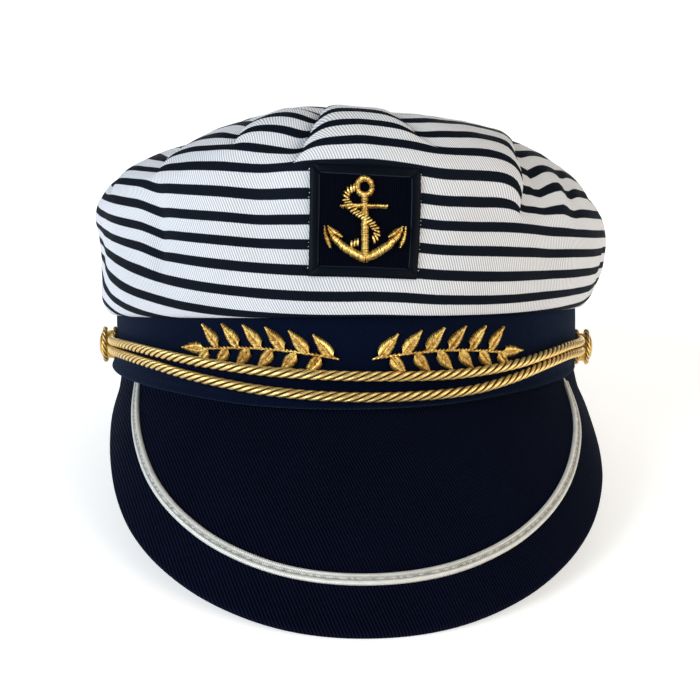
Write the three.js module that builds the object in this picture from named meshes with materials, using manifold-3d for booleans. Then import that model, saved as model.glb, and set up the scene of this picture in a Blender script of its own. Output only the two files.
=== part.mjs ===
// A soft captain hat: a striped cloth crown, a navy band, a cloth-covered peak with silver braid,
// a double gold chin cord on two side buttons, and an anchor badge.
// Millimetres, front towards -Y, resting on z = 0 on its peak and on the back of its band.
import * as THREE from 'three';
import { mergeVertices } from 'three/addons/utils/BufferGeometryUtils.js';
import Module from 'manifold-3d';

const wasm = await Module();
wasm.setup();

const { clamp, degToRad, euclideanModulo, lerp, radToDeg, smoothstep } = THREE.MathUtils;

// Clearance between pieces that touch, and how far the soft edges sink where the hat rests
const gap = 0.3;
const restSink = 0.8;

// Head band: outside sizes of an oval ring for a head of about 58 cm
const bandHalfWidth = 88;
const bandHalfLength = 104;
const bandHeight = 27.3;
const bandWall = 3;
const bandSteps = 64;

// Band section, around the wall: out is from the oval's outside, up from the lower edge
const bandSection = [
  { out: -bandWall, up: 0.8 },
  { out: -bandWall + 0.8, up: 0 },
  { out: 0.2, up: 0 },
  { out: 1.2, up: 0.8 },
  { out: 1.2, up: 2.4 },
  { out: 0.1, up: 3.6 },
  { out: 0, up: bandHeight - 1.1 },
  { out: -1.1, up: bandHeight },
  { out: -bandWall, up: bandHeight },
];

// Crown: cloth wall over the band, roof highest at the front
const crownWall = 1.4;
const crownHeight = 92;
const roofFall = 16;
const roofSag = 8.4;
const roofLean = 5;
const crownHalfWidth = 96;
const crownReach = 107.5;
const crownSeam = bandHeight + gap;

// Crown sections, by cloth length up the front from the seam: rise is a share of the roof's height,
// hang is how far the cloth drops over the band on the left
const crownSections = [
  { along: 0, rise: 0, hang: 0, left: 87, right: 87, front: 103, back: 103 },
  { along: 3, rise: -0.018, hang: 2.4, left: 90.8, right: 90, front: 106, back: 106.5 },
  { along: 9, rise: 0.06, hang: 2.2, left: 94.5, right: 93.5, front: 107, back: 108 },
  { along: 22, rise: 0.27, hang: 0.6, left: 95.2, right: 96.5, front: 107.5, back: 109.5 },
  { along: 36, rise: 0.49, hang: 0, left: 95.7, right: 97.5, front: 106.5, back: 109 },
  { along: 44, rise: 0.63, hang: 0, left: 95.2, right: 96, front: 105.5, back: 107 },
  { along: 51, rise: 0.745, hang: 0, left: 92.7, right: 92, front: 103.5, back: 104 },
  { along: 59, rise: 0.86, hang: 0, left: 86.7, right: 85.5, front: 100, back: 99 },
  { along: 66, rise: 0.935, hang: 0, left: 77.5, right: 77, front: 95, back: 92.5 },
  { along: 74, rise: 0.985, hang: 0, left: 67.5, right: 67.5, front: 87, back: 84 },
  { along: 85, rise: 1.005, hang: 0, left: 58, right: 58, front: 76, back: 73 },
  { along: 121, rise: 1.01, hang: 0, left: 30, right: 30, front: 40, back: 40 },
  { along: 161, rise: 1.01, hang: 0, left: 0, right: 0, front: 0, back: 0 },
];

// Darts pinched round the crown's shoulder: angles from the front, foot and head of each, in degrees
const darts = [
  { foot: -168, head: -166, start: 46, end: 104, depth: 3.6, width: 5 },
  { foot: -147, head: -149, start: 50, end: 100, depth: 3.2, width: 5 },
  { foot: -126, head: -124, start: 44, end: 106, depth: 4, width: 5 },
  { foot: -104, head: -106, start: 48, end: 100, depth: 3.4, width: 5 },
  { foot: -82, head: -84, start: 46, end: 104, depth: 3.8, width: 5 },
  { foot: -57, head: -61, start: 44, end: 104, depth: 4, width: 5 },
  { foot: -44, head: -38, start: 47, end: 100, depth: 3.6, width: 4.5 },
  { foot: -25, head: -20, start: 50, end: 104, depth: 4.2, width: 5 },
  { foot: -10.5, head: -6.5, start: 46, end: 102, depth: 4.4, width: 4.5 },
  { foot: 17, head: 6, start: 47, end: 96, depth: 4.2, width: 4.5 },
  { foot: 30, head: 40, start: 32, end: 106, depth: 4.8, width: 5 },
  { foot: 56, head: 62, start: 46, end: 100, depth: 3.6, width: 5 },
  { foot: 79, head: 81, start: 44, end: 104, depth: 4, width: 5 },
  { foot: 101, head: 99, start: 48, end: 102, depth: 3.4, width: 5 },
  { foot: 123, head: 125, start: 46, end: 104, depth: 3.8, width: 5 },
  { foot: 146, head: 144, start: 50, end: 100, depth: 3.2, width: 5 },
  { foot: 170, head: 172, start: 45, end: 104, depth: 3.8, width: 5 },
];

// Soft creases down the wall, at one angle each
const creases = [
  { turn: -70, start: 8, end: 46, depth: 1.6, width: 9 },
  { turn: -37, start: 8, end: 50, depth: 1.8, width: 7 },
  { turn: 39, start: 6, end: 40, depth: 1.6, width: 8 },
  { turn: 68, start: 8, end: 48, depth: 1.4, width: 8 },
];
const wallRows = [0, 1.5, 3, 6, 10, 17, 25, 33, 40, 46, 52, 58, 64, 70, 77, 88, 104, 130];
const dartColumns = [0, 0.17, 0.5, 0.83];

// Peak: a bent crescent plate, by angle from the front, that gets steeper towards its ends
const peakThick = 2.6;
const peakSlope = 43;
const peakSteepen = 14;
const peakBow = 2;
const peakEnd = 75;
const peakSteps = 40;
const peakRows = [0, 0.25, 0.5, 0.75, 1];
const peakWidths = [
  { turn: 0, width: 67 },
  { turn: 8, width: 65.4 },
  { turn: 16, width: 60.4 },
  { turn: 24, width: 53 },
  { turn: 32, width: 44.2 },
  { turn: 40, width: 34.3 },
  { turn: 48, width: 24.5 },
  { turn: 56, width: 16 },
  { turn: 66, width: 7.8 },
  { turn: 75, width: 1.6 },
];

// Silver braid on the peak, by its distance in from the peak's edge
const braidHalf = 1.35;
const braidHigh = 1.1;
const braidSteps = 44;
const braidInsets = [
  { turn: 0, inset: 13.8 },
  { turn: 18, inset: 14.1 },
  { turn: 36, inset: 15.4 },
  { turn: 52.5, inset: 16.6 },
];

// Badge on the front of the crown
const badgeAlong = 29.6;
const badgeTurn = 0;
const badgeHalf = 15.5;
const badgeThick = 0.9;
const badgeEdge = 2.7;
const borderThick = 0.8;
const borderSteps = 6;
const anchorThick = 1;
const anchorScale = 0.95;

// Chin cord: heights of its two runs above the band's lower edge
const cordRadius = 1.4;
const cordSides = 8;
const cordSteps = 72;
const cordRuns = [
  { turn: 0, upper: 9.6, lower: 3.9, out: 3.1 },
  { turn: 16, upper: 10.3, lower: 4.9, out: 3.1 },
  { turn: 32, upper: 12, lower: 7.4, out: 3.1 },
  { turn: 52, upper: 14, lower: 10.2, out: 2.6 },
  { turn: 70, upper: 15, lower: 11, out: 2.1 },
];

// Side buttons
const buttonTurn = 79;
const buttonUp = 12.9;
const buttonRadius = 6.4;
const shankRadius = 1.2;
const cordTurnRadius = 3.1;

// Leaf sprigs on the band's front
const sprigGap = 0.5;
const sprigThick = 0.8;
const sprigStart = 5;
const sprigLength = 42;
const sprigUp = 14.6;
const sprigBend = 1.6;
const stemHalf = 0.5;
const leafCount = 12;
const leafLength = 9;
const leafHalf = 1.7;
const leafAngle = 50;

// Smooth value of one column of a table at x, where x runs along the table's key column
function column(table, key, name, x) {
  const last = table.length - 1;
  let i = 0;
  while (i < last - 1 && x > table[i + 1][key]) {
    i += 1;
  }
  const low = table[i];
  const high = table[i + 1];
  const before = table[Math.max(i - 1, 0)];
  const after = table[Math.min(i + 2, last)];
  const span = high[key] - low[key];
  const t = clamp((x - low[key]) / span, 0, 1);
  const leave = (high[name] - before[name]) / (high[key] - before[key]) * span;
  const arrive = (after[name] - low[name]) / (after[key] - low[key]) * span;
  const t2 = t * t;
  const t3 = t2 * t;
  const ends = (2 * t3 - 3 * t2 + 1) * low[name] + (3 * t2 - 2 * t3) * high[name];
  return ends + (t3 - 2 * t2 + t) * leave + (t3 - t2) * arrive;
}

// Point of a surface, moved off it along its normal
function lift(surface, u, v, height) {
  const step = 0.02;
  const du = surface(u + step, v).sub(surface(u - step, v));
  const dv = surface(u, v + step).sub(surface(u, v - step));
  return surface(u, v).addScaledVector(du.cross(dv).normalize(), height);
}

function centre(ring) {
  const sum = ring.reduce((total, point) => total.add(point), new THREE.Vector3());
  return [sum.divideScalar(ring.length)];
}

function volume(geometry) {
  const p = geometry.getAttribute('position');
  const index = geometry.getIndex();
  const corner = [new THREE.Vector3(), new THREE.Vector3(), new THREE.Vector3()];
  let total = 0;
  for (let i = 0; i < index.count; i += 3) {
    corner.forEach((point, k) => point.fromBufferAttribute(p, index.getX(i + k)));
    total += corner[0].dot(corner[1].cross(corner[2])) / 6;
  }
  return total;
}

function outward(geometry) {
  if (volume(geometry) < 0) {
    const index = geometry.getIndex();
    for (let i = 0; i < index.count; i += 3) {
      const second = index.getX(i + 1);
      index.setX(i + 1, index.getX(i + 2));
      index.setX(i + 2, second);
    }
  }
  return geometry;
}

// Closed solid through rings of points: joined end to end, or closed at both ends by their middles
function loft(rings, joined = false) {
  const list = joined ? [...rings, rings[0]] : [centre(rings[0]), ...rings, centre(rings.at(-1))];
  const corners = [];
  for (let i = 0; i + 1 < list.length; i += 1) {
    const low = list[i];
    const high = list[i + 1];
    const count = Math.max(low.length, high.length);
    for (let j = 0; j < count; j += 1) {
      const a = low[j % low.length];
      const b = low[(j + 1) % low.length];
      const c = high[(j + 1) % high.length];
      const d = high[j % high.length];
      if (a !== b) {
        corners.push(...a, ...b, ...c);
      }
      if (c !== d) {
        corners.push(...a, ...c, ...d);
      }
    }
  }
  const geometry = new THREE.BufferGeometry();
  geometry.setAttribute('position', new THREE.Float32BufferAttribute(corners, 3));
  return outward(mergeVertices(geometry, 1e-4));
}

// Positions alone, each corner once
function bare(geometry) {
  for (const name of Object.keys(geometry.attributes)) {
    if (name !== 'position') {
      geometry.deleteAttribute(name);
    }
  }
  return mergeVertices(geometry, 1e-4);
}

// Solids for joining
function solidOf(geometry) {
  const merged = bare(geometry);
  return new wasm.Manifold(new wasm.Mesh({
    numProp: 3,
    vertProperties: Float32Array.from(merged.getAttribute('position').array),
    triVerts: Uint32Array.from(merged.getIndex().array),
  }));
}

function geometryOf(solid) {
  const mesh = solid.getMesh();
  const geometry = new THREE.BufferGeometry();
  geometry.setAttribute('position', new THREE.Float32BufferAttribute(mesh.vertProperties, 3));
  geometry.setIndex(new THREE.Uint32BufferAttribute(mesh.triVerts, 1));
  return geometry;
}

function union(geometries) {
  return geometryOf(geometries.map(solidOf).reduce((sum, next) => sum.add(next)));
}

// Lays a flat solid on a surface: x and y run along the surface, z off it
function lay(geometry, surface) {
  const p = geometry.getAttribute('position');
  for (let i = 0; i < p.count; i += 1) {
    const point = lift(surface, p.getX(i), p.getY(i), p.getZ(i));
    p.setXYZ(i, point.x, point.y, point.z);
  }
  return outward(geometry);
}

function onBand(turn, up) {
  const angle = degToRad(turn);
  return new THREE.Vector3(bandHalfWidth * Math.sin(angle), -bandHalfLength * Math.cos(angle), up);
}

function roof(x, y) {
  const fall = roofFall * (y + crownReach) / (2 * crownReach);
  const lean = roofLean * Math.max(x, 0) / crownHalfWidth;
  return crownHeight - fall - lean - roofSag * (x / crownHalfWidth) ** 2;
}

// Crown cloth before it is pinched
function crownForm(turn, along) {
  const angle = degToRad(turn);
  const side = Math.sin(angle);
  const ahead = Math.cos(angle);
  const size = (name) => column(crownSections, 'along', name, along);
  const x = side * size(side < 0 ? 'left' : 'right');
  const y = -ahead * size(ahead > 0 ? 'front' : 'back');
  const hang = size('hang') * Math.min(side, 0) ** 2;
  return new THREE.Vector3(x, y, crownSeam + size('rise') * (roof(x, y) - crownSeam) - hang);
}

function dartTurn(dart, along) {
  return lerp(dart.foot, dart.head, smoothstep(along, dart.start, dart.end - 24));
}

// How far the cloth is drawn in by the darts and creases
function pinch(turn, along) {
  const reach = column(crownSections, 'along', 'front', along);
  const valley = (fold, foldTurn) => {
    const away = euclideanModulo(turn - foldTurn + 180, 360) - 180;
    return fold.depth * Math.exp(-((degToRad(away) * reach / fold.width) ** 2));
  };
  let depth = 0;
  for (const dart of darts) {
    const fade = smoothstep(along, dart.start, dart.start + 14);
    depth += fade * (1 - smoothstep(along, dart.end - 30, dart.end)) * valley(dart, dartTurn(dart, along));
  }
  for (const crease of creases) {
    const middle = (crease.start + crease.end) / 2;
    const fade = smoothstep(along, crease.start, middle) * (1 - smoothstep(along, middle, crease.end));
    depth += fade * valley(crease, crease.turn);
  }
  return depth;
}

// Rings of cloth run along the darts, so that each dart has a line of corners down its middle
function crown() {
  const ring = (along, inset) => darts.flatMap((dart, i) => {
    const from = dartTurn(dart, along);
    const span = euclideanModulo(dartTurn(darts[(i + 1) % darts.length], along) - from, 360);
    return dartColumns.map((part) => {
      const turn = from + part * span;
      return lift(crownForm, turn, along, -pinch(turn, along) - inset);
    });
  });
  const outside = wallRows.map((along) => ring(along, 0));
  const inside = wallRows.map((along) => ring(along, crownWall));
  const shrink = 1 - crownWall / crownHalfWidth;
  inside[0] = outside[0].map((point) => new THREE.Vector3(point.x * shrink, point.y * shrink, point.z));
  const top = crownForm(0, crownSections.at(-1).along);
  const below = top.clone().setZ(top.z - crownWall);
  return loft([[top], ...outside.reverse(), ...inside, [below]]);
}

function band() {
  const rings = [];
  for (let i = 0; i < bandSteps; i += 1) {
    const turn = 360 * i / bandSteps;
    rings.push(bandSection.map((corner) => lift(onBand, turn, corner.up, corner.out)));
  }
  return loft(rings, true);
}

// Middle of the peak's plate, by distance from where it leaves the band
function peakForm(distance, turn) {
  const width = column(peakWidths, 'turn', 'width', Math.abs(turn));
  const slope = degToRad(peakSlope + peakSteepen * (turn / peakEnd) ** 2);
  const share = distance / width;
  const bow = 4 * peakBow * share * (1 - share) * smoothstep(width, 2, 30);
  const away = lift(onBand, turn, 0, 1).sub(onBand(turn, 0));
  return lift(onBand, turn, -gap - peakThick / 2, -bandWall / 2)
    .addScaledVector(away, distance * Math.cos(slope) + bow * Math.sin(slope))
    .add(new THREE.Vector3(0, 0, bow * Math.cos(slope) - distance * Math.sin(slope)));
}

// The hat leans back until the peak's edge and the back of the band share one plane
const peakTip = lift(peakForm, peakWidths[0].width, 0, -peakThick / 2);
const restBack = bandHalfLength + 0.2;
const restTilt = Math.atan2(-peakTip.z, restBack - peakTip.y);

function peak() {
  const rings = [];
  for (let i = 0; i <= peakSteps; i += 1) {
    const turn = peakEnd * Math.sin(Math.PI * (i / peakSteps - 0.5));
    const width = column(peakWidths, 'turn', 'width', Math.abs(turn));
    const side = (height) => peakRows.map((share) => lift(peakForm, share * width, turn, height));
    rings.push([...side(peakThick * 0.5), ...side(-peakThick * 0.5).reverse()]);
  }
  return loft(rings);
}

function peakBraid() {
  const section = [
    { across: -braidHalf, high: 0.35 },
    { across: -braidHalf * 0.75, high: braidHigh },
    { across: -braidHalf * 0.25, high: braidHigh },
    { across: 0, high: braidHigh * 0.7 },
    { across: braidHalf * 0.25, high: braidHigh },
    { across: braidHalf * 0.75, high: braidHigh },
    { across: braidHalf, high: 0.35 },
    { across: braidHalf * 0.8, high: 0 },
    { across: -braidHalf * 0.8, high: 0 },
  ];
  const base = peakThick * 0.5 + gap;
  const place = (part) => {
    const turn = braidInsets.at(-1).turn * Math.sin(Math.PI * (part - 0.5));
    const inset = column(braidInsets, 'turn', 'inset', Math.abs(turn));
    return { turn, distance: column(peakWidths, 'turn', 'width', Math.abs(turn)) - inset };
  };
  const rings = [];
  for (let i = 0; i <= braidSteps; i += 1) {
    const part = i / braidSteps;
    const here = place(part);
    const before = place(Math.max(part - 0.004, 0));
    const after = place(Math.min(part + 0.004, 1));
    const middle = peakForm(here.distance, here.turn);
    const normal = lift(peakForm, here.distance, here.turn, 1).sub(middle);
    const run = peakForm(after.distance, after.turn).sub(peakForm(before.distance, before.turn));
    const across = run.normalize().cross(normal).normalize();
    rings.push(section.map((corner) => middle.clone()
      .addScaledVector(across, corner.across)
      .addScaledVector(normal, base + corner.high)));
  }
  return loft(rings);
}

// Badge plane on the crown: u to the wearer's left, w up
const badgeSurface = (u, w) => crownForm(badgeTurn + radToDeg(u / crownHalfWidth), badgeAlong + w);

const patchBottom = gap;
const patchTop = patchBottom + badgeThick;
const anchorBottom = patchTop + 0.5;
const anchorTop = anchorBottom + anchorThick;

function patch() {
  const slab = new THREE.BoxGeometry(2 * badgeHalf, 2 * badgeHalf, badgeThick, 6, 6, 1);
  return lay(bare(slab.translate(0, 0, patchBottom + badgeThick / 2)), badgeSurface);
}

// Ribbon round the patch, one ring for each step along its four sides
function patchBorder() {
  const bottom = patchTop + gap;
  const top = bottom + borderThick;
  const rings = [];
  for (let i = 0; i < 4 * borderSteps; i += 1) {
    const side = Math.floor(i / borderSteps);
    const part = 2 * (i % borderSteps) / borderSteps - 1;
    const turned = (half, high) => new THREE.Vector3(half * part, half, high)
      .applyAxisAngle(new THREE.Vector3(0, 0, 1), -side * Math.PI / 2);
    const inner = badgeHalf - badgeEdge;
    rings.push([
      turned(badgeHalf, bottom),
      turned(badgeHalf, top),
      turned(inner, top),
      turned(inner, bottom),
    ]);
  }
  return lay(loft(rings, true), badgeSurface);
}

function raised(shape, bottom, top, curveSegments = 6) {
  const settings = { depth: top - bottom, bevelEnabled: false, curveSegments };
  return new THREE.ExtrudeGeometry(shape, settings).translate(0, 0, bottom);
}

function outline(points) {
  return new THREE.Shape(points.map(([x, y]) => new THREE.Vector2(x, y)));
}

function anchor() {
  const ring = new THREE.Shape().absarc(0, 9.4, 2.7, 0, 2 * Math.PI);
  ring.holes.push(new THREE.Path().absarc(0, 9.4, 1.5, 0, 2 * Math.PI, true));
  const shank = outline([[-1.1, -10], [1.1, -10], [0.85, 7.4], [-0.85, 7.4]]);
  const stock = outline([[-6.2, 3.5], [6.2, 3.5], [6.6, 4.2], [6.2, 4.9], [-6.2, 4.9], [-6.6, 4.2]]);
  const arms = new THREE.Shape();
  arms.moveTo(-9.6, -3.6);
  arms.quadraticCurveTo(-8.4, -9.6, 0, -12);
  arms.quadraticCurveTo(8.4, -9.6, 9.6, -3.6);
  arms.lineTo(7.8, -4.4);
  arms.quadraticCurveTo(6.6, -8, 0, -9.4);
  arms.quadraticCurveTo(-6.6, -8, -7.8, -4.4);
  const fluke = (side) => outline([[side * 10.8, -1.4], [side * 11, -7.6], [side * 5.6, -4.6]]);
  const parts = [ring, shank, stock, arms, fluke(-1), fluke(1)];
  const flat = union(parts.map((shape) => raised(shape, anchorBottom, anchorTop)));
  return lay(flat.scale(anchorScale, anchorScale, 1), badgeSurface);
}

// Round cord along a curve that lies on something: facing gives the way off it at a point
function tube(curve, radius, sides, steps, facing) {
  const rings = [];
  for (let i = 0; i < steps + (curve.closed ? 0 : 1); i += 1) {
    const middle = curve.getPoint(i / steps);
    const run = curve.getTangent(i / steps);
    const across = run.clone().cross(facing(middle)).normalize();
    const off = across.clone().cross(run);
    const ring = [];
    for (let j = 0; j < sides; j += 1) {
      const angle = 2 * Math.PI * j / sides;
      ring.push(middle.clone()
        .addScaledVector(across, radius * Math.cos(angle))
        .addScaledVector(off, radius * Math.sin(angle)));
    }
    rings.push(ring);
  }
  return loft(rings, curve.closed);
}

function anchorRope() {
  const radius = 0.6;
  const height = anchorTop + gap + radius;
  const bends = [
    [-2.6, 8.4], [-5, 7], [-4.6, 2.6], [0, 0.6],
    [3.6, -2], [2.4, -5.2], [-2.4, -6.2], [-4, -7.4],
  ];
  const points = bends.map(([u, w]) => new THREE.Vector3(u, w, height));
  const curve = new THREE.CatmullRomCurve3(points);
  return lay(tube(curve, radius, 8, 28, () => new THREE.Vector3(0, 0, 1)), badgeSurface);
}

// Leaf sprig on the band, on the given side: a stem with leaves above and below it in turn
function sprig(side) {
  const stem = (u) => sprigUp + sprigBend * Math.sin((u - sprigStart) / sprigLength * Math.PI);
  const leaf = new THREE.Shape();
  leaf.moveTo(0, -0.9 * stemHalf);
  leaf.quadraticCurveTo(0.42 * leafLength, -2 * leafHalf, leafLength, 0);
  leaf.quadraticCurveTo(0.42 * leafLength, 2 * leafHalf, 0, 0.9 * stemHalf);
  const upper = [];
  const lower = [];
  const parts = [];
  for (let i = 0; i <= leafCount; i += 1) {
    const u = sprigStart + sprigLength * i / leafCount;
    const lean = i === leafCount ? 0 : leafAngle * (i % 2 ? -1 : 1);
    upper.push([u, stem(u) + stemHalf]);
    lower.unshift([u, stem(u) - stemHalf]);
    parts.push(raised(leaf, sprigGap, sprigGap + sprigThick, 4).rotateZ(degToRad(lean)));
    parts[i].translate(i === leafCount ? u - 0.6 : u + 1.3, stem(u), 0);
  }
  parts.push(raised(outline([...upper, ...lower]), sprigGap, sprigGap + sprigThick));
  const flat = union(parts).scale(side, 1, 1);
  return lay(flat, (u, w) => onBand(radToDeg(u / bandHalfWidth), w));
}

// Whole loop of the chin cord: across the front twice and round the shank of each button
function chinCord() {
  const turns = [-70, -52, -32, -16, 0, 16, 32, 52, 70];
  const run = (name, list) => list.map((turn) => {
    const value = (field) => column(cordRuns, 'turn', field, Math.abs(turn));
    return lift(onBand, turn, value(name), value('out'));
  });
  const round = (side) => [60, 0, -60].map((degrees) => {
    const angle = degToRad(degrees);
    const across = radToDeg(cordTurnRadius * Math.cos(angle) / bandHalfLength);
    const up = buttonUp + cordTurnRadius * Math.sin(angle);
    return lift(onBand, side * (buttonTurn + across), up, 1.9);
  });
  const points = [
    ...run('upper', turns),
    ...round(1),
    ...run('lower', turns.toReversed()),
    ...round(-1).reverse(),
  ];
  const curve = new THREE.CatmullRomCurve3(points, true, 'centripetal');
  const facing = (p) => new THREE.Vector3(p.x / bandHalfWidth ** 2, p.y / bandHalfLength ** 2, 0);
  return tube(curve, cordRadius, cordSides, cordSteps, facing);
}

function button(side) {
  const neck = 3.7;
  const profile = [
    [0, gap], [shankRadius, gap], [shankRadius, neck], [buttonRadius - 0.5, neck],
    [buttonRadius, neck + 0.5], [buttonRadius - 0.2, neck + 1], [buttonRadius * 0.82, neck + 1.7],
    [buttonRadius * 0.45, neck + 2.5], [0, neck + 2.8],
  ];
  const turned = new THREE.LatheGeometry(profile.map(([r, h]) => new THREE.Vector2(r, h)), 16);
  const foot = onBand(side * buttonTurn, buttonUp);
  const axis = lift(onBand, side * buttonTurn, buttonUp, 1).sub(foot);
  const pose = new THREE.Quaternion().setFromUnitVectors(new THREE.Vector3(0, 1, 0), axis);
  turned.applyQuaternion(pose).translate(foot.x, foot.y, foot.z);
  return geometryOf(solidOf(turned));
}

// Turns the finished hat on to its rest plane and flattens the soft edges that meet it
const stand = new THREE.Matrix4()
  .makeRotationX(-restTilt)
  .setPosition(0, 0, restBack * Math.sin(restTilt) - restSink);

function rest(geometry) {
  geometry.applyMatrix4(stand);
  const p = geometry.getAttribute('position');
  for (let i = 0; i < p.count; i += 1) {
    p.setZ(i, Math.max(p.getZ(i), 0));
  }
  return geometry;
}

function piece(name, geometry, color, roughness, metalness = 0) {
  const faceted = rest(geometry).toNonIndexed();
  faceted.computeVertexNormals();
  const mesh = new THREE.Mesh(faceted, new THREE.MeshStandardMaterial({ color, roughness, metalness }));
  mesh.name = name;
  return mesh;
}

const hat = new THREE.Group();
hat.add(
  piece('crown', crown(), '#dfe2ea', 0.9),
  piece('band', band(), '#18213f', 0.85),
  piece('peak', peak(), '#0d1226', 0.85),
  piece('peak_piping', peakBraid(), '#c9ccca', 0.4, 0.7),
  piece('patch', patch(), '#0b0e1c', 0.9),
  piece('patch_border', patchBorder(), '#1b2342', 0.6),
  piece('anchor', anchor(), '#c79a3e', 0.55, 0.3),
  piece('anchor_rope', anchorRope(), '#d8b055', 0.55, 0.3),
  piece('sprig_left', sprig(-1), '#bb8f3a', 0.55, 0.3),
  piece('sprig_right', sprig(1), '#bb8f3a', 0.55, 0.3),
  piece('chin_cord', chinCord(), '#cfa54c', 0.5, 0.4),
  piece('button_left', button(-1), '#cf9f42', 0.3, 1),
  piece('button_right', button(1), '#cf9f42', 0.3, 1),
);

// Origin at the middle of the footprint
const box = new THREE.Box3().setFromObject(hat);
const middle = box.getCenter(new THREE.Vector3());
for (const mesh of hat.children) {
  mesh.geometry.translate(-middle.x, -middle.y, 0);
}

export default hat;
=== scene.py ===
import math

import bpy
import numpy as np
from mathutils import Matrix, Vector


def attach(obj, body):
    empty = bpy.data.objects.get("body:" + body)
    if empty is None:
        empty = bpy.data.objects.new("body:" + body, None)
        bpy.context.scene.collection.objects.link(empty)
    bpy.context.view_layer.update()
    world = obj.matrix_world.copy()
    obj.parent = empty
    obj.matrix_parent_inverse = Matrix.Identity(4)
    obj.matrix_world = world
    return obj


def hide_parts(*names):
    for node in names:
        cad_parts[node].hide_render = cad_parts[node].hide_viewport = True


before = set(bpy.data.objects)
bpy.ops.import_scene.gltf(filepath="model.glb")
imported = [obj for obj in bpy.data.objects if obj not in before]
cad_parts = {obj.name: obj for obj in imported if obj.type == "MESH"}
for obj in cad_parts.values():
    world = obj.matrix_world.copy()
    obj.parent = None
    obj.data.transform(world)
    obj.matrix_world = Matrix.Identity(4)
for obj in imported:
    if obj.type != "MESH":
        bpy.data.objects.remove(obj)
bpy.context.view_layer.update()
print("frame loaded")

# The hat is drawn upright in millimetres, front to -Y, then laid on the floor as the solids lie:
# tipped back in degrees and slid in millimetres
hatLie = dict(tilt=10.7012, slide=(-0.98327, 20.99998, 18.5485))


def toRoom(points):
    tip = math.radians(hatLie["tilt"])
    x, y, z = np.moveaxis(np.asarray(points, float), -1, 0)
    room = np.stack([x, y * math.cos(tip) + z * math.sin(tip), z * math.cos(tip) - y * math.sin(tip)], -1)
    room = room + np.array(hatLie["slide"])
    room[..., 2] = np.maximum(room[..., 2], 0)  # soft edges are pressed flat where they rest
    return room / 1000


# Small helpers for numbers
def ease(x, low, high):
    t = np.clip((x - low) / (high - low), 0, 1)
    return t * t * (3 - 2 * t)


def swell(x, rise, fall):
    # up from 0 to 1 over the first stretch, and down again over the second
    return ease(x, *rise) * (1 - ease(x, *fall))


def through(table, key, name, x):
    # smooth value of one column of a table, read at x along the key column
    xs = np.array([row[key] for row in table], float)
    ys = np.array([row[name] for row in table], float)
    lean = np.empty(len(xs))
    lean[1:-1] = (ys[2:] - ys[:-2]) / (xs[2:] - xs[:-2])
    lean[0] = (ys[1] - ys[0]) / (xs[1] - xs[0])
    lean[-1] = (ys[-1] - ys[-2]) / (xs[-1] - xs[-2])
    i = np.clip(np.searchsorted(xs, x) - 1, 0, len(xs) - 2)
    span = xs[i + 1] - xs[i]
    t = np.clip((x - xs[i]) / span, 0, 1)
    ends = (2 * t**3 - 3 * t**2 + 1) * ys[i] + (3 * t**2 - 2 * t**3) * ys[i + 1]
    return ends + (t**3 - 2 * t**2 + t) * span * lean[i] + (t**3 - t**2) * span * lean[i + 1]


def rows(names, *values):
    return [dict(zip(names.split(), row)) for row in values]


def unit(v):
    return v / np.maximum(np.linalg.norm(v, axis=-1, keepdims=True), 1e-9)


def lengthAlong(points):
    return np.concatenate([[0], np.cumsum(np.linalg.norm(np.diff(points, axis=0), axis=1))])


def readAt(spots, points):
    # points read between their numbers
    numbers = np.arange(len(points))
    return np.stack([np.interp(spots, numbers, column) for column in points.T], -1)


def facing(surface, u, v):
    step = 0.02
    du = surface(u + step, v) - surface(u - step, v)
    dv = surface(u, v + step) - surface(u, v - step)
    return unit(np.cross(du, dv))


def lift(surface, u, v, height):
    return surface(u, v) + facing(surface, u, v) * np.asarray(height)[..., None]


def ripple(points, size, seed):
    # soft unevenness, about -1 to 1, from a few slanted waves of about this size in mm
    waves = 6
    draw = np.random.default_rng(seed)
    total = 0
    for k in range(waves):
        way = unit(draw.normal(size=3)) * 2 * math.pi / (size * draw.uniform(0.7, 1.6))
        total = total + np.sin(points @ way + draw.uniform(0, 2 * math.pi))
    return 2 * total / waves


# Small helpers for objects
def deselect():
    if bpy.context.mode != "OBJECT":
        bpy.ops.object.mode_set(mode="OBJECT")
    bpy.ops.object.select_all(action="DESELECT")


def work(piece):
    deselect()
    piece.select_set(True)
    bpy.context.view_layer.objects.active = piece
    return piece


def sealed(piece):
    # doubles merged, holes filled, faces turned outwards
    work(piece)
    bpy.ops.object.mode_set(mode="EDIT")
    bpy.ops.mesh.select_all(action="SELECT")
    bpy.ops.mesh.remove_doubles(threshold=1e-6)
    bpy.ops.mesh.fill_holes(sides=0)
    bpy.ops.mesh.select_all(action="SELECT")
    bpy.ops.mesh.normals_make_consistent(inside=False)
    bpy.ops.object.mode_set(mode="OBJECT")
    bpy.ops.object.shade_smooth()


patternStep = 10  # mm of cloth to each 1 of a piece's pattern map


def gridPiece(name, columns, lines, place, cloth):
    # a flat grid, bent to shape: place takes both shares of the grid, 0 to 1, and gives points in hat mm,
    # cloth gives the piece's own pattern coordinates in mm
    deselect()
    bpy.ops.mesh.primitive_grid_add(x_subdivisions=columns, y_subdivisions=lines, size=1, calc_uvs=True)
    piece = bpy.context.object
    piece.name = piece.data.name = name
    mesh = piece.data
    flat = np.empty(len(mesh.vertices) * 3)
    mesh.vertices.foreach_get("co", flat)
    share = flat.reshape(-1, 3)[:, :2] + 0.5
    mesh.vertices.foreach_set("co", toRoom(place(share[:, 0], share[:, 1])).ravel())
    layer = mesh.uv_layers[0]
    layer.name = "cloth"
    uv = np.empty(len(mesh.loops) * 2)
    layer.uv.foreach_get("vector", uv)
    uv = uv.reshape(-1, 2)
    layer.uv.foreach_set("vector", (cloth(uv[:, 0], uv[:, 1]) / patternStep).ravel())
    mesh.update()
    sealed(piece)
    return piece


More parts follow.
